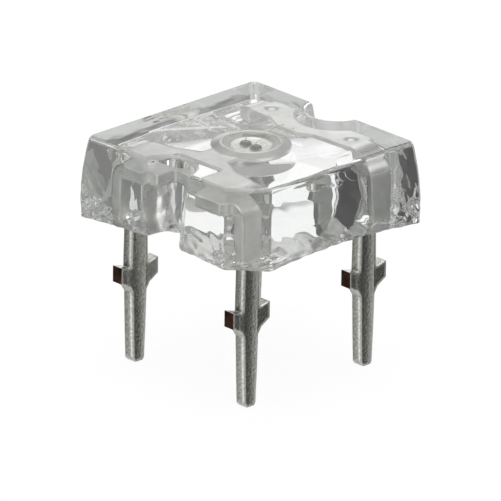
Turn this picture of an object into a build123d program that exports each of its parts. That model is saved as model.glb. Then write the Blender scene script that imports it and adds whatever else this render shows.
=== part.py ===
# Square four-lead LED with a water-clear flat-topped body, standing on its lead tips.
# Millimetres, +Z up. The origin is on the surface under the four lead tips, at their centre.
# The corner at -X -Y is chamfered as the polarity mark, the cathode frame lies on the -X side,
# and the anode frame on the +X side.

import os
from math import cos, hypot, radians, sin, sqrt

from build123d import *

# Heights above the lead tips
seat_height = 2.80
underside_height = 5.06
top_height = 7.57

# Clear body
body_width = 7.72
top_width = 7.30
straight_wall = 0.30
corner_chamfer = 1.06
corner_radius = 0.25
top_edge_radius = 0.15
bottom_edge_chamfer = 0.08
notch_clearance = 0.64
notch_top_radius = 0.96
notch_bottom_radius = 0.67

# Underside, as the resin sets in the mould: a shallow bowl, a low boss and a collar at each lead
bowl_rise = 0.24
bowl_radius = 3.75
boss_drop = 0.10
boss_radius = 1.45
collar_rise = 0.13
collar_root = 0.46
collar_waist_drop = 0.03
collar_waist = 0.15
collar_drop = 0.13
collar_tip = 0.03
collar_corner_radius = 0.05

# Sheet and grid of the lead frames
sheet = 0.40
lead_pitch = 5.08
frame_depth = 0.72
bend_inner_radius = 0.12
punched_edge_radius = 0.085

# Front outline of a lead, as half widths
tip_half_width = 0.15
tip_chamfer_height = 0.15
blade_end_half_width = 0.275
blade_taper_height = 0.95
blade_half_width = 0.31
blade_top_half_width = 0.355
tab_half_span = 0.79
tab_height = 0.54
tab_slope = 0.26
tab_spur = 0.10
tab_root_chamfer = 0.08
neck_root_half_width = 0.40
neck_half_width = 0.36
shoulder_half_width = 0.42
shoulder_share = 0.5

# Plan of the lead frames, as distances from the centre lines
pad_inner = 2.07
pad_outer = 3.14
recess_inner = 2.15
recess_half_width = 1.02
anode_notch_margin = 0.40
plan_corner_radius = 0.14
arm_half_width = 0.60
arm_inner = 1.55
arm_slope_end = 1.40
arm_slope_inset = 0.12
anode_post_inner = 1.74
anode_post_top = 0.72
anode_post_bottom = -0.12
anode_root_inner = 2.02
anode_slope_end = 1.25
dimple_top_radius = 0.22
dimple_bottom_radius = 0.13
dimple_depth = 0.16
dimple_place = 1.80

# Reflector cup, raised as a ring on the cathode frame
cup_base_radius = 1.27
cup_rim_outer_radius = 0.98
cup_rim_radius = 0.90
cup_floor_radius = 0.69
cup_rim_rise = 0.32
cup_floor_drop = 0.10

# Chips, glue and bond wires
chip_size = 0.25
chip_height = 0.24
chip_spacing = 0.47
chip_row_x = -0.06
chip_row_y = -0.045
glue_thickness = 0.02
glue_margin = 0.03
wire_diameter = 0.034
wire_sides = 6
ball_radius = 0.045
ball_height = 0.032
wire_loop_rise = 0.30
wire_rim_clearance = 0.09
wire_bend_radius = 0.12
stitch_x = 1.93
stitch_spacing = 0.44
stitch_row_y = 0.30
stitch_length = 0.10
stitch_width = 0.06
stitch_thickness = 0.02

# Least share of the vertical in the direction of an edge that is taken as upright
upright_share = 0.9

# Places that follow from the sizes above
body_height = top_height - underside_height
notch_centre = recess_inner + notch_clearance + notch_top_radius
frame_top = top_height - frame_depth
frame_bottom = frame_top - sheet
shoulder_height = underside_height + (frame_bottom - underside_height) * shoulder_share
lead_x = lead_pitch / 2
lead_outer = lead_pitch / 2 + sheet / 2
lead_inner = lead_pitch / 2 - sheet / 2
bend_outer_radius = bend_inner_radius + sheet
bend_line = lead_outer - bend_outer_radius
cup_floor = frame_top - cup_floor_drop
chip_base = cup_floor + glue_thickness
chip_top = chip_base + chip_height
chip_places = [chip_row_y + side * chip_spacing / 2 for side in (1, -1)]
stitch_places = [stitch_row_y + side * stitch_spacing / 2 for side in (1, -1)]


def bowed_side(low, high, far):
    """Profile with an upright foot and a wall that bows inward to the top, from -far to the wall."""
    foot = (low, underside_height + straight_wall)
    crest = (high, top_height)
    outline = [
        Line((-far, underside_height), (low, underside_height)),
        Line((low, underside_height), foot),
        TangentArc(foot, crest, tangent=(0, 1)),
        Line(crest, (-far, top_height)),
        Line((-far, top_height), (-far, underside_height)),
    ]
    return make_face(outline)


def wall_limit(angle, low, high):
    """Solid on the inner side of one bowed wall that faces the given direction in plan."""
    reach = body_width
    facing = Vector(cos(radians(angle)), sin(radians(angle)), 0)
    across = Vector(sin(radians(angle)), -cos(radians(angle)), 0)
    plane = Plane(origin=(0, 0, 0), x_dir=facing, z_dir=across)
    return extrude(plane * bowed_side(low, high, reach), amount=reach, both=True)


def notch():
    """Notch on the +X side: a half cone with its two flanks carried on out through the wall."""
    half_cone = Cone(notch_bottom_radius, notch_top_radius, body_height)
    bottom = -body_height / 2
    top = body_height / 2
    corners = [
        (-notch_bottom_radius, bottom),
        (notch_bottom_radius, bottom),
        (notch_top_radius, top),
        (-notch_top_radius, top),
    ]
    flanks = extrude(Plane.YZ * make_face(Polyline(*corners, close=True)), amount=body_width)
    return Pos(notch_centre, 0, underside_height + body_height / 2) * (half_cone + flanks)


def clear_block():
    """Outer form of the body: four bowed walls, the chamfered corner and the two notches."""
    low = body_width / 2
    high = top_width / 2
    block = wall_limit(0, low, high)
    for angle in (90, 180, 270):
        block = block & wall_limit(angle, low, high)
    chamfer_low = (2 * low - corner_chamfer) / sqrt(2)
    chamfer_high = (2 * high - corner_chamfer) / sqrt(2)
    block = block & wall_limit(225, chamfer_low, chamfer_high)
    upright = block.edges().filter_by(lambda e: abs(e.tangent_at(0.5).Z) > upright_share)
    block = fillet(upright, corner_radius)
    bottom_rim = block.faces().sort_by(Axis.Z)[0].edges()
    block = chamfer(bottom_rim, bottom_edge_chamfer)
    block = block - notch() - mirror(notch(), Plane.YZ)
    top_rim = block.faces().sort_by(Axis.Z)[-1].edges()
    return fillet(top_rim, top_edge_radius)


def underside_bowl():
    """Shallow bowl in the underside, with a low round boss left in its middle."""
    bowl_ball = (bowl_radius ** 2 + bowl_rise ** 2) / (2 * bowl_rise)
    boss_ball = (boss_radius ** 2 + boss_drop ** 2) / (2 * boss_drop)
    boss_rim = bowl_rise * (1 - (boss_radius / bowl_radius) ** 2)
    bowl = Pos(0, 0, underside_height + bowl_rise - bowl_ball) * Sphere(bowl_ball)
    boss = Pos(0, 0, underside_height + boss_rim - boss_drop + boss_ball) * Sphere(boss_ball)
    return bowl - boss


def collar():
    """Collar where the epoxy creeps a little way down a lead, hanging from the underside."""
    root = (collar_rise, collar_root)
    waist = (-collar_waist_drop, collar_waist)
    end = (-collar_drop, collar_tip)
    sections = []
    for rise, margin in (root, waist, end):
        width = 2 * (neck_half_width + margin)
        depth = sheet + 2 * margin
        outline = RectangleRounded(width, depth, margin + collar_corner_radius)
        sections.append(Pos(0, 0, underside_height + rise) * outline)
    return loft(sections, ruled=True)


def blade_front():
    """Front outline of a lead from its tip to the underside of the body, seen along Y."""
    tab_low = seat_height
    tab_high = seat_height + tab_height
    tab_incline = tab_slope / (tab_half_span - blade_top_half_width)
    right = [
        (tip_half_width, 0),
        (blade_end_half_width, tip_chamfer_height),
        (blade_half_width, blade_taper_height),
        (blade_top_half_width, tab_low - tab_slope - tab_root_chamfer),
        (blade_top_half_width + tab_root_chamfer, tab_low - tab_slope + tab_root_chamfer * tab_incline),
        (tab_half_span, tab_low),
        (tab_half_span, tab_high),
        (neck_root_half_width, tab_high - tab_spur),
        (neck_half_width, underside_height),
    ]
    left = [(-x, z) for x, z in reversed(right)]
    return make_face(Polyline(*right, *left, close=True))


def shoulder_front():
    """Front outline of a lead inside the body, up past its bend, seen along Y."""
    right = [
        (neck_half_width, underside_height),
        (shoulder_half_width, shoulder_height),
        (shoulder_half_width, top_height),
    ]
    left = [(-x, z) for x, z in reversed(right)]
    return make_face(Polyline(*right, *left, close=True))


def soften(blade):
    """Blade with its long edges slightly rounded by the punch."""
    upright = blade.edges().filter_by(lambda e: abs(e.tangent_at(0.5).Z) > upright_share)
    return fillet(upright.filter_by(lambda e: e.length > tab_height), punched_edge_radius)


def lead_side():
    """Side outline of a lead with its bend, seen along X, with the bend on the +Y side."""
    centre_z = frame_top - bend_outer_radius
    outer = [
        Line((0, 0), (sheet, 0)),
        Line((sheet, 0), (sheet, centre_z)),
        TangentArc((sheet, centre_z), (sheet - bend_outer_radius, frame_top), tangent=(0, 1)),
        Line((sheet - bend_outer_radius, frame_top), (sheet - bend_outer_radius, frame_bottom)),
        TangentArc((sheet - bend_outer_radius, frame_bottom), (0, centre_z), tangent=(1, 0)),
        Line((0, centre_z), (0, 0)),
    ]
    return make_face(outer)


def lead():
    """Flat lead with its tabs and bend, standing on the lead grid's +X +Y place."""
    blade = soften(extrude(Plane.XZ * blade_front(), amount=-sheet))
    side = extrude(Plane.YZ * lead_side(), amount=tab_half_span * 2, both=True)
    front = extrude(Plane.XZ * shoulder_front(), amount=bend_outer_radius * 2, both=True)
    return Pos(lead_x, lead_inner, 0) * (blade + (side & front))


def round_corners(plan, radius):
    """Plan with its sharp corners rounded, apart from those on the two bend lines."""
    corners = plan.vertices().filter_by(lambda v: abs(v.Y) < bend_line - radius)
    return fillet(corners, radius)


def cathode_plan():
    """Plan of the cathode plate: two pads, the arm between them and the base of the cup."""
    recess = Pos(-recess_inner - pad_outer, 0) * Rectangle(2 * pad_outer, 2 * recess_half_width)
    corner = [
        (-pad_outer, bend_line),
        (-pad_inner, bend_line),
        (-pad_inner + arm_slope_inset, arm_slope_end),
        (-arm_inner, arm_half_width),
        (0, arm_half_width),
    ]
    lower = [(x, -y) for x, y in reversed(corner)]
    plate = make_face(Polyline(*corner, *lower, close=True))
    return round_corners(plate - recess + Circle(cup_base_radius), plan_corner_radius)


def anode_plan():
    """Plan of the anode plate: two pads and the post that the wires are bonded to."""
    notch = Pos(notch_centre, 0) * Circle(notch_top_radius + anode_notch_margin)
    outline = [
        (pad_outer, bend_line),
        (pad_inner, bend_line),
        (anode_root_inner, anode_slope_end),
        (anode_post_inner, anode_post_top),
        (anode_post_inner, anode_post_bottom),
        (anode_root_inner, -anode_post_top),
        (pad_inner, -bend_line),
        (pad_outer, -bend_line),
    ]
    plate = make_face(Polyline(*outline, close=True))
    return round_corners(plate - notch, plan_corner_radius)


def cup_ring():
    """Raised ring of the reflector cup with its sloping inner wall and flat floor."""
    rim = frame_top + cup_rim_rise
    profile = Polyline(
        (0, frame_bottom),
        (cup_base_radius, frame_bottom),
        (cup_base_radius, frame_top),
        (cup_rim_outer_radius, rim),
        (cup_rim_radius, rim),
        (cup_floor_radius, cup_floor),
        (0, cup_floor),
        close=True,
    )
    return revolve(Plane.XZ * make_face(profile), Axis.Z)


def dimple():
    """Round press mark in the top of a pad."""
    return Cone(dimple_bottom_radius, dimple_top_radius, dimple_depth)


def with_leads(plate, side):
    """Plate joined to its two bent leads on the given side of the part."""
    one = lead()
    if side < 0:
        one = mirror(one, Plane.YZ)
    return plate + one + mirror(one, Plane.XZ)


def cathode_frame():
    """Cathode frame: plate, reflector cup and two leads in one stamped piece."""
    plate = Pos(0, 0, frame_bottom) * extrude(cathode_plan(), amount=sheet)
    opening = Pos(0, 0, frame_bottom) * extrude(Circle(cup_base_radius), amount=sheet)
    plate = plate - opening + cup_ring()
    return with_leads(plate, -1)


def anode_frame():
    """Anode frame: plate with two dimples and two leads in one stamped piece."""
    plate = Pos(0, 0, frame_bottom) * extrude(anode_plan(), amount=sheet)
    for side in (-1, 1):
        place = Pos((pad_inner + pad_outer) / 2, side * dimple_place, frame_top - dimple_depth / 2)
        plate = plate - place * dimple()
    return with_leads(plate, 1)


def led_chip(y):
    """Square chip standing on its glue."""
    return Pos(chip_row_x, y, chip_base + chip_height / 2) * Box(chip_size, chip_size, chip_height)


def die_attach(y):
    """Thin layer of silver glue between a chip and the cup's floor."""
    width = chip_size + 2 * glue_margin
    return Pos(chip_row_x, y, cup_floor + glue_thickness / 2) * Box(width, width, glue_thickness)


def bond_wire(chip_y, stitch_y):
    """Wire from the ball on a chip, up over the cup's rim and down to the anode post."""
    run = hypot(stitch_x - chip_row_x, stitch_y - chip_y)
    along = Vector(stitch_x - chip_row_x, stitch_y - chip_y, 0) / run
    plane = Plane(origin=(chip_row_x, chip_y, 0), x_dir=along, z_dir=along.cross(Vector(0, 0, 1)))
    radius = wire_diameter / 2
    start = chip_top + ball_height
    crest = frame_top + cup_rim_rise + wire_rim_clearance + wire_loop_rise / 2
    path = plane * FilletPolyline(
        (0, start),
        (0, crest),
        (cup_rim_outer_radius, crest),
        (run, frame_top + radius),
        radius=wire_bend_radius,
    )
    section = Plane(origin=path @ 0, z_dir=path % 0) * RegularPolygon(radius, wire_sides)
    wire = sweep(section, path)
    ball = Pos(chip_row_x, chip_y, chip_top + ball_height / 2) * Cylinder(ball_radius, ball_height)
    foot = Box(stitch_length, stitch_thickness, stitch_width)
    return wire + ball + plane * Pos(run, frame_top + stitch_thickness / 2, 0) * foot


def clear_body(inside):
    """Clear body with its collars, cast around everything that it holds."""
    body = clear_block() - underside_bowl()
    for x in (-lead_x, lead_x):
        for y in (-lead_x, lead_x):
            body = body + Pos(x, y, 0) * collar()
    for piece in inside:
        body = body - piece
    return body


def build():
    """All pieces by name."""
    pieces = {
        "cathode_frame": cathode_frame(),
        "anode_frame": anode_frame(),
    }
    for number, (chip_y, stitch_y) in enumerate(zip(chip_places, stitch_places), start=1):
        pieces[f"led_chip_{number}"] = led_chip(chip_y)
        pieces[f"die_attach_{number}"] = die_attach(chip_y)
        pieces[f"bond_wire_{number}"] = bond_wire(chip_y, stitch_y)
    pieces["epoxy_body"] = clear_body(list(pieces.values()))
    return pieces


os.makedirs("parts", exist_ok=True)
for name, piece in build().items():
    export_step(piece, f"parts/{name}.step")
    print(name, round(piece.volume, 5))
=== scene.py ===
import bpy
import numpy as np
from mathutils import Matrix, Vector


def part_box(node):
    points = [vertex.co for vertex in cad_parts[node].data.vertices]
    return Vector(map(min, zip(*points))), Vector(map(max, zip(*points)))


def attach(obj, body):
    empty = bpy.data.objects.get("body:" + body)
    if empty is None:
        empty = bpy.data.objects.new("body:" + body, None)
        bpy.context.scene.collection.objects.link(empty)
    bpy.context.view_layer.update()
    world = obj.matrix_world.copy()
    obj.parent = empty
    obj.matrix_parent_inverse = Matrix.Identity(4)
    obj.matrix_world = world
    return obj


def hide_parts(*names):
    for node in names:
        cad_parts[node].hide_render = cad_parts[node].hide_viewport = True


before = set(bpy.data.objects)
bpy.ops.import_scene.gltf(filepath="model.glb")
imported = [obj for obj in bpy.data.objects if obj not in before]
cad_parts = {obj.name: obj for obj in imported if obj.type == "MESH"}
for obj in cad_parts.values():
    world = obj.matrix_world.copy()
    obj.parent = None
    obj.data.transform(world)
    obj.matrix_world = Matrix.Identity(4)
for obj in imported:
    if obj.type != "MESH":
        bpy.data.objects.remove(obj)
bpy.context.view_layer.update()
bodyLow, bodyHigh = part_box("epoxy_body")
mm = 0.001
print("frame loaded", len(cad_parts), "nodes")


# clear body, one closed skin with the frames inside it

clearBody = {
    "topWidth": 7.30 * mm,
    "straightWall": 0.30 * mm,  # height of the upright foot
    "cornerChamfer": 1.06 * mm,
    "cornerRadius": 0.25 * mm,
    "topEdgeRadius": 0.15 * mm,
    "bottomEdgeRadius": 0.02 * mm,
    "notchCentre": 3.75 * mm,
    "notchTopRadius": 0.96 * mm,
    "notchBottomRadius": 0.67 * mm,
    "notchEdgeRadius": 0.17 * mm,
    "leadPlace": 2.54 * mm,  # of the leads' middles, in x and in y
    "leadHalfWidth": 0.36 * mm,
    "leadHalfDepth": 0.20 * mm,
    "meniscusDrop": 0.13 * mm,
    "meniscusReach": 0.90 * mm,
    "rippleHeight": 0.018 * mm,
    "rippleLength": 0.34 * mm,
    "bowlRise": 0.222 * mm,
    "bowlRadius": 3.75 * mm,
    "bossDrop": 0.10 * mm,
    "bossRadius": 1.45 * mm,
    "waveHeight": 0.006 * mm,
    "waveLengths": (0.83 * mm, 1.31 * mm, 0.57 * mm),
    "waveDirections": ((0.8, 0.5, 0.33), (-0.45, 0.75, 0.48), (0.3, -0.62, 0.72)),
    "waveBend": 2,
    "waveBendPace": 0.61,
    "footHeight": 0.038 * mm,  # of the stronger waves at the wall's foot
    "footReach": 1.5 * mm,
    "footPace": 1.4,
    "footRim": 0.2,  # share of the underside that they cross, from the rim inwards
    "cornerPoints": 13,
    "cutPoints": 9,
    "mouthPoints": 9,
    "notchPoints": 43,
    "wallPoints": 40,
    "edgeLevels": 9,
    "wallLevels": 50,
    "undersideRings": 110,
    "firstRing": 0.004,
}


def arcPoints(centreX, centreY, radius, start, end, count):
    # circle arc: centre plus radius times cosine and sine of an angle that runs from start to end
    angle = np.radians(np.linspace(start, end, count))[None, :]
    x = centreX[:, None] + radius[:, None] * np.cos(angle)
    y = centreY[:, None] + radius[:, None] * np.sin(angle)
    return np.stack([x, y], -1)


def linePoints(start, end, count):
    # straight run, without its two ends: start plus a share of the way to the end
    share = np.linspace(0, 1, count + 2)[1:-1][None, :, None]
    return start[:, None, :] * (1 - share) + end[:, None, :] * share


def planOutline(half, corner, chamferReach, notchRadius, mouth):
    # outline of the body in plan for whole arrays of levels: square of half width half, rounded
    # corners, one corner cut at chamferReach from the centre, and a round notch in two walls
    b = clearBody
    inner = half - corner
    cutY = -np.sqrt(2) * (chamferReach - corner) + inner
    mouthX = half - mouth
    mouthY = np.sqrt((notchRadius + mouth) ** 2 - (mouthX - b["notchCentre"]) ** 2)
    turn = np.degrees(np.arctan2(mouthY, b["notchCentre"] - mouthX))

    def mouthArc(side, up, leaving):
        # small arc between the wall and the notch: its angle runs from the wall's normal to the notch's,
        # and back where the outline leaves the notch
        angle = np.radians(-turn[:, None] * np.linspace(0, 1, b["mouthPoints"])[None, :])
        if leaving:
            angle = angle[:, ::-1]
        x = mouthX[:, None] + mouth[:, None] * np.cos(angle)
        y = mouthY[:, None] + mouth[:, None] * np.sin(angle)
        return np.stack([side * x, up * y], -1)

    def notchArc(side):
        # round floor of the notch: an arc about the notch's centre, from one mouth to the other
        angle = np.radians(turn[:, None] * np.linspace(1, -1, b["notchPoints"])[None, 1:-1])
        x = b["notchCentre"] - notchRadius[:, None] * np.cos(angle)
        y = notchRadius[:, None] * np.sin(angle)
        return np.stack([side * x, y], -1)

    topRight = arcPoints(inner, inner, corner, 0, 90, b["cornerPoints"])
    topLeft = arcPoints(-inner, inner, corner, 90, 180, b["cornerPoints"])
    cutLeft = arcPoints(-inner, cutY, corner, 180, 225, b["cutPoints"])
    cutRight = arcPoints(cutY, -inner, corner, 225, 270, b["cutPoints"])
    lowRight = arcPoints(inner, -inner, corner, 270, 360, b["cornerPoints"])
    upLeftMouth = mouthArc(-1, 1, False)
    lowLeftMouth = mouthArc(-1, -1, True)
    lowRightMouth = mouthArc(1, -1, False)
    upRightMouth = mouthArc(1, 1, True)
    count = b["wallPoints"]
    runs = [
        topRight,
        linePoints(topRight[:, -1], topLeft[:, 0], 2 * count),
        topLeft,
        linePoints(topLeft[:, -1], upLeftMouth[:, 0], count),
        upLeftMouth,
        notchArc(-1),
        lowLeftMouth,
        linePoints(lowLeftMouth[:, -1], cutLeft[:, 0], count),
        cutLeft,
        linePoints(cutLeft[:, -1], cutRight[:, 0], count // 2),
        cutRight,
        linePoints(cutRight[:, -1], lowRight[:, 0], 2 * count),
        lowRight,
        linePoints(lowRight[:, -1], lowRightMouth[:, 0], count),
        lowRightMouth,
        notchArc(1)[:, ::-1],
        upRightMouth,
        linePoints(upRightMouth[:, -1], topRight[:, 0], count),
    ]
    return np.concatenate(runs, axis=1)


def bowedHalf(height, low, high, bottom, top):
    # half width at a height: upright foot, then an arc that is tangent to it and meets the top width
    rise = top - bottom - clearBody["straightWall"]
    lean = low - high
    radius = (rise ** 2 + lean ** 2) / (2 * lean)
    up = np.clip(height - bottom - clearBody["straightWall"], 0, None)
    return low - radius + np.sqrt(radius ** 2 - up ** 2)


def undersideRise(x, y):
    # rise of the free underside over the middle of its rim: a round parabola, which comes out below nought
    # at the corners, and inside the boss's radius a second one that starts there and falls to the middle
    b = clearBody
    reach = np.hypot(x, y)
    bowl = b["bowlRise"] * (1 - (reach / b["bowlRadius"]) ** 2)
    bossRim = b["bowlRise"] * (1 - (b["bossRadius"] / b["bowlRadius"]) ** 2)
    boss = bossRim - b["bossDrop"] * (1 - (reach / b["bossRadius"]) ** 2)
    return np.where(reach < b["bossRadius"], boss, bowl)


def meniscus(x, y):
    # drop of the underside near a lead: full at the metal, fading with the cube of the share of the way
    # outwards that is left, with a sine ripple that fades with the share itself
    b = clearBody
    dx = np.clip(np.abs(np.abs(x) - b["leadPlace"]) - b["leadHalfWidth"], 0, None)
    dy = np.clip(np.abs(np.abs(y) - b["leadPlace"]) - b["leadHalfDepth"], 0, None)
    away = np.hypot(dx, dy)
    near = np.clip(1 - away / b["meniscusReach"], 0, 1)
    ripple = b["rippleHeight"] * np.sin(away / b["rippleLength"] * 2 * np.pi) * near
    return (b["meniscusDrop"] + undersideRise(x, y)) * near ** 3 + ripple


def waves(points, height, pace):
    # inward depth of a cast face's waves: the mean of sines along three slanted directions, each bent
    # by a sine of another one, raised so that it is never negative
    b = clearBody
    along = points @ np.array(b["waveDirections"]).T
    phase = along / np.array(b["waveLengths"]) * 2 * np.pi * pace
    bent = phase + b["waveBend"] * np.sin(phase[..., ::-1] * b["waveBendPace"])
    return height * (1 + np.sin(bent).mean(-1, keepdims=True))


def closedMesh(name, points):
    # points is a whole array [rings, columns, 3]: neighbours on the grid become quads, every ring closes
    # on itself, and the first and the last ring are capped
    rings, columns = points.shape[:2]
    index = np.arange(rings * columns).reshape(rings, columns)
    right = np.roll(index, -1, axis=1)
    quads = np.stack([index[:-1], right[:-1], right[1:], index[1:]], -1).reshape(-1, 4)
    faces = quads.tolist() + [index[0, ::-1].tolist(), index[-1].tolist()]
    mesh = bpy.data.meshes.new(name)
    mesh.from_pydata(points.reshape(-1, 3).tolist(), [], faces)
    mesh.update()
    return mesh


def addPiece(name, mesh, nodes=()):
    piece = bpy.data.objects.new(name, mesh)
    bpy.context.scene.collection.objects.link(piece)
    mesh.shade_smooth()
    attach(piece, "root")
    if nodes:
        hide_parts(*nodes)
    return piece


def makeClearBody():
    # rings of the underside from the middle outwards, then levels of the wall from the foot to the top,
    # each ring the plan outline at its level; waves then press the skin in towards the body's middle
    b = clearBody
    top = bodyHigh.z
    bottom = bodyLow.z + b["meniscusDrop"]
    low = (bodyHigh.x - bodyLow.x) / 2
    high = b["topWidth"] / 2
    quarter = np.radians(np.linspace(0, 90, b["edgeLevels"]))
    foot = b["bottomEdgeRadius"]
    crest = b["topEdgeRadius"]
    # levels of the wall: round foot, bowed wall, round top edge; inset is the way in from the wall
    heights = np.concatenate([
        bottom + foot * (1 - np.cos(quarter)),
        np.linspace(bottom + foot, top - crest, b["wallLevels"])[1:-1],
        top - crest + crest * np.sin(quarter),
    ])
    insets = np.concatenate([
        foot * (1 - np.sin(quarter)),
        np.zeros(b["wallLevels"] - 2),
        crest * (1 - np.cos(quarter)),
    ])
    half = bowedHalf(heights, low, high, bottom, top)
    climb = (heights - bottom) / (top - bottom)
    notch = b["notchBottomRadius"] + (b["notchTopRadius"] - b["notchBottomRadius"]) * climb
    reach = (2 * half - b["cornerChamfer"]) / np.sqrt(2)
    outline = planOutline(
        half - insets,
        b["cornerRadius"] - insets,
        reach - insets,
        notch + insets,
        b["notchEdgeRadius"] - insets,
    )
    wall = np.concatenate([outline, np.repeat(heights[:, None, None], outline.shape[1], 1)], -1)
    # underside: the foot's outline shrunk towards the middle, with the meniscus drop at each lead
    shrink = np.linspace(b["firstRing"], 1, b["undersideRings"])[:-1, None, None]
    floorPlan = outline[0][None] * shrink
    rise = undersideRise(floorPlan[..., 0], floorPlan[..., 1])
    level = bottom + rise - meniscus(floorPlan[..., 0], floorPlan[..., 1])
    underside = np.concatenate([floorPlan, level[..., None]], -1)
    # the wall's foot follows the underside down at the corners, less and less up to the straight wall's top
    rimRise = undersideRise(outline[..., 0], outline[..., 1])
    fade = np.clip(1 - (heights - bottom) / b["straightWall"], 0, 1)[:, None] ** 2
    wall[..., 2] += rimRise * fade
    points = np.concatenate([underside, wall])
    # faint waves on the walls: the top face, which the mould leaves flat, and the underside have none
    faint = np.clip((top - points[..., 2:]) / b["straightWall"] - 1, 0, 1)
    faint[:len(underside)] = 0
    # stronger ones at the foot fade out up the wall, across the underside's rim and away from the cut corner
    strong = np.clip(1 - (points[..., 2:] - bottom) / b["footReach"], 0, 1) ** 2
    strong[:len(underside)] *= np.clip((shrink - (1 - b["footRim"])) / b["footRim"], 0, 1)
    strong *= np.clip(0.5 - (points[..., :1] + points[..., 1:2]) / low / 2, 0, 1)
    depth = waves(points, b["waveHeight"], 1) * faint + waves(points, b["footHeight"], b["footPace"]) * strong
    outwards = points - np.array([0, 0, (top + bottom) / 2])
    points = points - depth * outwards / np.linalg.norm(outwards, axis=-1, keepdims=True)
    return addPiece("clear_body", closedMesh("clearBody", points), ["epoxy_body"])


body = makeClearBody()
print("clear body", len(body.data.polygons), "faces")


# helpers for materials

def newMaterial(name):
    material = bpy.data.materials.new(name)
    material.use_nodes = True
    tree = material.node_tree
    tree.nodes.clear()
    out = tree.nodes.new("ShaderNodeOutputMaterial")
    principled = tree.nodes.new("ShaderNodeBsdfPrincipled")
    tree.links.new(principled.outputs[0], out.inputs["Surface"])
    return material, tree, principled


def dressNode(name, material):
    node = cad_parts[name]
    node.data.materials.clear()
    node.data.materials.append(material)


def addMath(tree, operation, first, second=None, third=None):
    # each value is a plain number or another node's output
    node = tree.nodes.new("ShaderNodeMath")
    node.operation = operation
    for socket, value in zip(node.inputs, (first, second, third)):
        if isinstance(value, (int, float)):
            socket.default_value = value
        elif value is not None:
            tree.links.new(value, socket)
    return node.outputs[0]


def addBlend(tree, mask, low, high):
    # low where the mask is nought, high where it is one: low plus the mask times the way from low to high
    plain = isinstance(low, (int, float)) and isinstance(high, (int, float))
    way = high - low if plain else addMath(tree, "SUBTRACT", high, low)
    return addMath(tree, "MULTIPLY_ADD", mask, way, low)


def mixColour(tree, mask, low, high):
    # as addBlend, for colours: each is a plain colour or another node's output
    node = tree.nodes.new("ShaderNodeMix")
    node.data_type = "RGBA"
    tree.links.new(mask, node.inputs[0])
    for socket, colour in ((node.inputs[6], low), (node.inputs[7], high)):
        if isinstance(colour, tuple):
            socket.default_value = (*colour, 1)
        else:
            tree.links.new(colour, socket)
    return node.outputs[2]


def stepMask(tree, value, low, high):
    soft = tree.nodes.new("ShaderNodeMapRange")
    soft.interpolation_type = "SMOOTHSTEP"
    soft.inputs["From Min"].default_value = low
    soft.inputs["From Max"].default_value = high
    tree.links.new(value, soft.inputs["Value"])
    return soft.outputs["Result"]


def addPlace(tree):
    # the piece's own x, y and z, in metres
    place = tree.nodes.new("ShaderNodeTexCoord")
    split = tree.nodes.new("ShaderNodeSeparateXYZ")
    tree.links.new(place.outputs["Object"], split.inputs[0])
    return split.outputs["X"], split.outputs["Y"], split.outputs["Z"]


def addDistance(tree, x, y):
    # distance from an upright line: the root of the sum of two squares
    squares = addMath(tree, "ADD", addMath(tree, "POWER", x, 2), addMath(tree, "POWER", y, 2))
    return addMath(tree, "SQRT", squares)


def addNoise(tree, place, scale):
    noise = tree.nodes.new("ShaderNodeTexNoise")
    tree.links.new(place.outputs["Object"], noise.inputs["Vector"])
    tree.links.new(scale, noise.inputs["Scale"])
    return noise.outputs[0]


speckleBlend = {"fineRatio": 5.3, "fineShare": 0.35}


def speckleGroup():
    # colour and mask that vary softly over a surface, at two sizes
    group = bpy.data.node_groups.new("speckle", "ShaderNodeTree")
    face = group.interface
    for name, kind in (("Light", "Color"), ("Dark", "Color"), ("Scale", "Float"), ("Contrast", "Float")):
        face.new_socket(name, in_out="INPUT", socket_type="NodeSocket" + kind)
    face.new_socket("Colour", in_out="OUTPUT", socket_type="NodeSocketColor")
    face.new_socket("Mask", in_out="OUTPUT", socket_type="NodeSocketFloat")
    given = group.nodes.new("NodeGroupInput").outputs
    sink = group.nodes.new("NodeGroupOutput")
    place = group.nodes.new("ShaderNodeTexCoord")
    coarse = addNoise(group, place, given["Scale"])
    fine = addNoise(group, place, addMath(group, "MULTIPLY", given["Scale"], speckleBlend["fineRatio"]))
    both = addMath(group, "MULTIPLY_ADD", fine, speckleBlend["fineShare"], coarse)
    centred = addMath(group, "SUBTRACT", both, 0.5 * (1 + speckleBlend["fineShare"]))
    mask = addMath(group, "MULTIPLY_ADD", centred, given["Contrast"], 0.5)
    mask.node.use_clamp = True
    group.links.new(mixColour(group, mask, given["Dark"], given["Light"]), sink.inputs["Colour"])
    group.links.new(mask, sink.inputs["Mask"])
    return group


speckle = speckleGroup()


def addSpeckle(tree, light, dark, scale, contrast):
    node = tree.nodes.new("ShaderNodeGroup")
    node.node_tree = speckle
    node.inputs["Light"].default_value = (*light, 1)
    node.inputs["Dark"].default_value = (*dark, 1)
    node.inputs["Scale"].default_value = scale
    node.inputs["Contrast"].default_value = contrast
    return node.outputs


# clear epoxy of the body

epoxyFinish = {
    "light": (0.99, 1.0, 0.99),
    "dark": (0.97, 0.985, 0.975),
    "scale": 400,
    "contrast": 4.0,
    "ior": 1.53,
    "roughness": 0.01,
    "notchFrost": 0.45,
    "notchReach": (1.00 * mm, 1.06 * mm),
}


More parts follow.
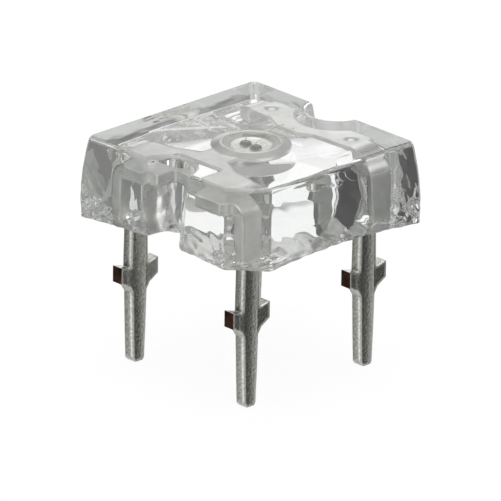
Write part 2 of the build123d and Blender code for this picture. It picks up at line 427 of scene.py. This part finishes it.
def epoxyMaterial():
    f = epoxyFinish
    material, tree, principled = newMaterial("clearEpoxy")
    tint = addSpeckle(tree, f["light"], f["dark"], f["scale"], f["contrast"])
    tree.links.new(tint["Colour"], principled.inputs["Base Color"])
    # frost in the notches, by the distance from a notch's centre line
    x, y = addPlace(tree)[:2]
    across = addMath(tree, "SUBTRACT", addMath(tree, "ABSOLUTE", x), clearBody["notchCentre"])
    outside = stepMask(tree, addDistance(tree, across, y), *f["notchReach"])
    frost = addMath(tree, "MULTIPLY", addMath(tree, "SUBTRACT", 1, outside), tint["Mask"])
    roughness = addMath(tree, "MULTIPLY_ADD", frost, f["notchFrost"], f["roughness"])
    tree.links.new(roughness, principled.inputs["Roughness"])
    principled.inputs["IOR"].default_value = f["ior"]
    principled.inputs["Transmission Weight"].default_value = 1
    return material


body.data.materials.append(epoxyMaterial())


# plated sheet of the two lead frames

metalFinish = {
    "silverLight": (0.97, 0.97, 0.95),
    "silverDark": (0.86, 0.86, 0.84),
    "silverRoughness": 0.36,
    "silverMetallic": 0.94,
    "bendRoughness": 0.26,
    "bendMetallic": 0.70,
    "bendFrom": 6.5 * mm,
    "bendTo": 6.9 * mm,
    "tinLight": (0.95, 0.95, 0.90),
    "tinDark": (0.66, 0.66, 0.61),
    "tinRoughness": 0.16,
    # painted shade: the tin's colour is scaled down to this towards the body
    "tinPaintedShade": 0.85,
    "shadeFrom": 1.2 * mm,
    "shadeTo": 4.2 * mm,
    "cupRadius": 0.93 * mm,
    "cupRoughness": 0.18,
    "copperLight": (0.13, 0.065, 0.045),
    "copperDark": (0.03, 0.013, 0.010),
    "copperRoughness": 0.5,
    "cutReach": 0.775 * mm,  # from a lead's middle to its tabs' cut ends
    "dipLow": 5.00 * mm,
    "dipHigh": 5.10 * mm,
    "seam": 0.01 * mm,  # width over which one finish gives way to another
    "scale": 3000,
    "grainScale": 11000,
    "contrast": 2.4,
    "grainHeight": 0.0035 * mm,
    "crownHeight": 0.040 * mm,
    "crownHalf": 0.40 * mm,
    "crownShift": 0.14 * mm,
    "edgeRadius": 0.14 * mm,
    "edgeRays": 8,
}


def addRelief(tree, height, principled):
    # the height bends normals that are already rounded at the punched edges
    rounded = tree.nodes.new("ShaderNodeBevel")
    rounded.samples = metalFinish["edgeRays"]
    rounded.inputs["Radius"].default_value = metalFinish["edgeRadius"]
    bump = tree.nodes.new("ShaderNodeBump")
    bump.inputs["Strength"].default_value = 1
    bump.inputs["Distance"].default_value = 1
    tree.links.new(height, bump.inputs["Height"])
    tree.links.new(rounded.outputs["Normal"], bump.inputs["Normal"])
    tree.links.new(bump.outputs["Normal"], principled.inputs["Normal"])


def metalMaterial():
    # matt silver inside the body, bright tin below it, bare copper on the cut ends of the tabs
    f = metalFinish
    leadPlace = clearBody["leadPlace"]
    material, tree, principled = newMaterial("leadMetal")
    silver = addSpeckle(tree, f["silverLight"], f["silverDark"], f["scale"], f["contrast"])
    tin = addSpeckle(tree, f["tinLight"], f["tinDark"], f["grainScale"], f["contrast"])
    copper = addSpeckle(tree, f["copperLight"], f["copperDark"], f["scale"], f["contrast"])
    x, y, z = addPlace(tree)
    fromLead = addMath(tree, "ABSOLUTE", addMath(tree, "SUBTRACT", addMath(tree, "ABSOLUTE", x), leadPlace))
    inside = stepMask(tree, z, f["dipLow"], f["dipHigh"])
    cut = stepMask(tree, fromLead, f["cutReach"], f["cutReach"] + f["seam"])
    flat = stepMask(tree, z, f["bendFrom"], f["bendTo"])
    beyondCup = stepMask(tree, addDistance(tree, x, y), f["cupRadius"], f["cupRadius"] + f["seam"])
    # colour: painted shade, the tin is darker towards the body
    shade = addBlend(tree, stepMask(tree, z, f["shadeFrom"], f["shadeTo"]), 1, f["tinPaintedShade"])
    shaded = tree.nodes.new("ShaderNodeVectorMath")
    shaded.operation = "SCALE"
    tree.links.new(tin["Colour"], shaded.inputs[0])
    tree.links.new(shade, shaded.inputs["Scale"])
    dipped = mixColour(tree, cut, shaded.outputs[0], copper["Colour"])
    tree.links.new(mixColour(tree, inside, dipped, silver["Colour"]), principled.inputs["Base Color"])
    # roughness: the cup is polished inside its rim, and the leads are smoother than the flat sheet
    dippedRoughness = addBlend(tree, cut, f["tinRoughness"], f["copperRoughness"])
    sheetRoughness = addBlend(tree, flat, f["bendRoughness"], f["silverRoughness"])
    silverRoughness = addBlend(tree, beyondCup, f["cupRoughness"], sheetRoughness)
    roughness = addBlend(tree, inside, dippedRoughness, silverRoughness)
    tree.links.new(roughness, principled.inputs["Roughness"])
    # metallic: full outside the body, less on the leads inside it, more again on the flat sheet
    silverMetallic = addBlend(tree, flat, f["bendMetallic"], f["silverMetallic"])
    tree.links.new(addBlend(tree, inside, 1, silverMetallic), principled.inputs["Metallic"])
    # outside the body the faces are grained, and crowned by a parabola across a lead's width and thickness
    height = addMath(tree, "MULTIPLY", tin["Mask"], f["grainHeight"])
    outside = addMath(tree, "SUBTRACT", 1, inside)
    for coordinate, shift in ((x, f["crownShift"]), (y, 0)):
        lead = addMath(tree, "MULTIPLY", addMath(tree, "SIGN", coordinate), leadPlace)
        across = addMath(tree, "ADD", addMath(tree, "SUBTRACT", coordinate, lead), shift)
        share = addMath(tree, "DIVIDE", addMath(tree, "ABSOLUTE", across), f["crownHalf"])
        square = addMath(tree, "POWER", addMath(tree, "MINIMUM", share, 1), 2)
        crown = addMath(tree, "MULTIPLY", square, -f["crownHeight"])
        height = addMath(tree, "MULTIPLY_ADD", crown, outside, height)
    addRelief(tree, height, principled)
    return material


metal = metalMaterial()
dressNode("cathode_frame", metal)
dressNode("anode_frame", metal)


# chips, their glue and their wires

chipFinish = {
    "light": (0.32, 0.31, 0.30),
    "dark": (0.14, 0.135, 0.13),
    "scale": 9000,
    "contrast": 3.0,
    "metallic": 0,
    "roughness": 0.35,
}
glueFinish = {
    "light": (0.62, 0.62, 0.6),
    "dark": (0.3, 0.3, 0.29),
    "scale": 20000,
    "contrast": 4.0,
    "metallic": 0.6,
    "roughness": 0.5,
}
goldFinish = {
    "light": (0.95, 0.84, 0.60),
    "dark": (0.80, 0.68, 0.45),
    "scale": 9000,
    "contrast": 2.0,
    "metallic": 1,
    "roughness": 0.2,
}


def plainMaterial(name, f):
    material, tree, principled = newMaterial(name)
    grain = addSpeckle(tree, f["light"], f["dark"], f["scale"], f["contrast"])
    tree.links.new(grain["Colour"], principled.inputs["Base Color"])
    principled.inputs["Metallic"].default_value = f["metallic"]
    principled.inputs["Roughness"].default_value = f["roughness"]
    return material


chipMaterial = plainMaterial("chipFaces", chipFinish)
glueMaterial = plainMaterial("silverGlue", glueFinish)
goldMaterial = plainMaterial("goldWire", goldFinish)
for number in (1, 2):
    dressNode(f"led_chip_{number}", chipMaterial)
    dressNode(f"die_attach_{number}", glueMaterial)
    dressNode(f"bond_wire_{number}", goldMaterial)
print("materials", len(bpy.data.materials))


# studio: pale floor, white surroundings, soft light; lengths in metres

studio = {
    "floorHalf": 1.5,
    "floorColour": (0.9, 0.9, 0.9),
    "floorGlow": 0.95,
    "backgroundLevel": 1.0,
    "lowColour": (0.47, 0.48, 0.47),
    "highColour": (0.22, 0.22, 0.22),
    "horizon": (-0.05, 0.12),
    "duskColour": (0.06, 0.06, 0.06),
    "duskTowards": (0.60, -0.74, -0.32),
    "duskEdge": (0.90, 0.985),
    "nightColour": (0.08, 0.08, 0.08),
    "nightTowards": (-0.47, 0.88, 0.18),
    "nightEdge": (0.72, 0.90),
    "ceilingColour": (1.5, 1.5, 1.5),
    "ceilingTowards": (0, 0, 1),
    "ceilingEdge": (0.62, 0.85),
    "backdropShare": 1,
    "backdropTowards": (0.69, 0.72, 0.04),
    "backdropEdge": (0.70, 0.84),
    "cardShare": 1,
    "cardTowards": (-0.95, -0.3, -0.25),
    "cardEdge": (0.86, 0.95),
    "groundShare": 0.65,
    "groundTowards": (0, 0, -1),
    "groundEdge": (0.90, 0.97),
    "lampPower": 0.5,
    "lampSize": 0.2,
    "lampHeight": 0.3,
}


def addShaderMix(tree, mask, low, high):
    node = tree.nodes.new("ShaderNodeMixShader")
    tree.links.new(mask, node.inputs[0])
    tree.links.new(low.outputs[0], node.inputs[1])
    tree.links.new(high.outputs[0], node.inputs[2])
    return node


def makeFloor():
    # flat square: nearly white with the part's shadow for the camera, and clear for metal and glass, which
    # see the world through it
    half = studio["floorHalf"]
    mesh = bpy.data.meshes.new("floor")
    corners = [(-half, -half, 0), (half, -half, 0), (half, half, 0), (-half, half, 0)]
    mesh.from_pydata(corners, [], [(0, 1, 2, 3)])
    floor = bpy.data.objects.new("floor", mesh)
    bpy.context.scene.collection.objects.link(floor)
    material = bpy.data.materials.new("floor")
    material.use_nodes = True
    tree = material.node_tree
    tree.nodes.clear()
    out = tree.nodes.new("ShaderNodeOutputMaterial")
    diffuse = tree.nodes.new("ShaderNodeBsdfDiffuse")
    diffuse.inputs["Color"].default_value = (*studio["floorColour"], 1)
    glow = tree.nodes.new("ShaderNodeEmission")
    glow.inputs["Strength"].default_value = studio["backgroundLevel"]
    clear = tree.nodes.new("ShaderNodeBsdfTransparent")
    ray = tree.nodes.new("ShaderNodeLightPath").outputs
    glowing = addMath(tree, "MULTIPLY", ray["Is Camera Ray"], studio["floorGlow"])
    through = addMath(tree, "MAXIMUM", ray["Is Glossy Ray"], ray["Is Transmission Ray"])
    pale = addShaderMix(tree, glowing, diffuse, glow)
    surface = addShaderMix(tree, through, pale, clear)
    tree.links.new(surface.outputs[0], out.inputs["Surface"])
    mesh.materials.append(material)
    return floor


def addDirection(tree, place, towards, edge):
    # one where a ray runs towards a direction, nought outside of it, with a soft edge
    along = tree.nodes.new("ShaderNodeVectorMath")
    along.operation = "DOT_PRODUCT"
    along.inputs[1].default_value = Vector(towards).normalized()
    tree.links.new(place.outputs["Generated"], along.inputs[0])
    return stepMask(tree, along.outputs["Value"], *edge)


def makeWorld():
    # white for the camera; metal and glass see a grey room, paler below its horizon, with two dark corners,
    # a bright ceiling, and white at the backdrop behind the part, at a card beside it and, partly, below
    world = bpy.data.worlds.new("studio")
    bpy.context.scene.world = world
    world.use_nodes = True
    tree = world.node_tree
    tree.nodes.clear()
    out = tree.nodes.new("ShaderNodeOutputWorld")
    place = tree.nodes.new("ShaderNodeTexCoord")
    above = addDirection(tree, place, (0, 0, 1), studio["horizon"])
    room = mixColour(tree, above, studio["lowColour"], studio["highColour"])
    for area in ("dusk", "night", "ceiling"):
        mask = addDirection(tree, place, studio[area + "Towards"], studio[area + "Edge"])
        room = mixColour(tree, mask, room, studio[area + "Colour"])
    white = tree.nodes.new("ShaderNodeLightPath").outputs["Is Camera Ray"]
    for area in ("backdrop", "card", "ground"):
        mask = addDirection(tree, place, studio[area + "Towards"], studio[area + "Edge"])
        share = addMath(tree, "MULTIPLY", mask, studio[area + "Share"])
        white = addMath(tree, "MAXIMUM", white, share)
    background = tree.nodes.new("ShaderNodeBackground")
    background.inputs["Strength"].default_value = studio["backgroundLevel"]
    tree.links.new(mixColour(tree, white, room, (1, 1, 1)), background.inputs["Color"])
    tree.links.new(background.outputs[0], out.inputs["Surface"])


def makeLamp():
    # one soft lamp overhead for the floor and the dull pieces; glass and metal see the world's ceiling
    data = bpy.data.lights.new("lamp", "AREA")
    data.energy = studio["lampPower"]
    data.size = studio["lampSize"]
    lamp = bpy.data.objects.new("lamp", data)
    bpy.context.scene.collection.objects.link(lamp)
    lamp.location = (0, 0, studio["lampHeight"])
    lamp.visible_glossy = False
    lamp.visible_transmission = False


makeFloor()
makeWorld()
makeLamp()
print("studio ready")


# camera at the photograph's angle

cameraSet = {
    "azimuth": -44.08,
    "elevation": 21.8,
    "roll": -0.74,
    "distance": 0.400,
    "aim": (-0.0412 * mm, -0.0737 * mm, 3.7958 * mm),
    "lens": 913.7,
    "sensor": 36,
    "clip": (0.01, 10),
}


def makeCamera():
    c = cameraSet
    azimuth, elevation, roll = np.radians([c["azimuth"], c["elevation"], c["roll"]])
    flatShare = np.cos(elevation)
    back = Vector((np.sin(azimuth) * flatShare, -np.cos(azimuth) * flatShare, np.sin(elevation)))
    level = Vector((np.cos(azimuth), np.sin(azimuth), 0))
    upright = back.cross(level)
    right = level * np.cos(roll) - upright * np.sin(roll)
    up = level * np.sin(roll) + upright * np.cos(roll)
    data = bpy.data.cameras.new("camera")
    data.lens = c["lens"]
    data.sensor_width = c["sensor"]
    data.clip_start, data.clip_end = c["clip"]
    camera = bpy.data.objects.new("camera", data)
    bpy.context.scene.collection.objects.link(camera)
    place = Vector(c["aim"]) + back * c["distance"]
    camera.matrix_world = Matrix((
        (right.x, up.x, back.x, place.x),
        (right.y, up.y, back.y, place.y),
        (right.z, up.z, back.z, place.z),
        (0, 0, 0, 1),
    ))
    bpy.context.scene.camera = camera


makeCamera()
bpy.context.scene.view_settings.view_transform = "Standard"
# light turns many times inside the clear body before it leaves
lightTurns = 24
bpy.context.scene.cycles.max_bounces = lightTurns
bpy.context.scene.cycles.glossy_bounces = lightTurns
bpy.context.scene.cycles.transmission_bounces = lightTurns
print("camera ready")
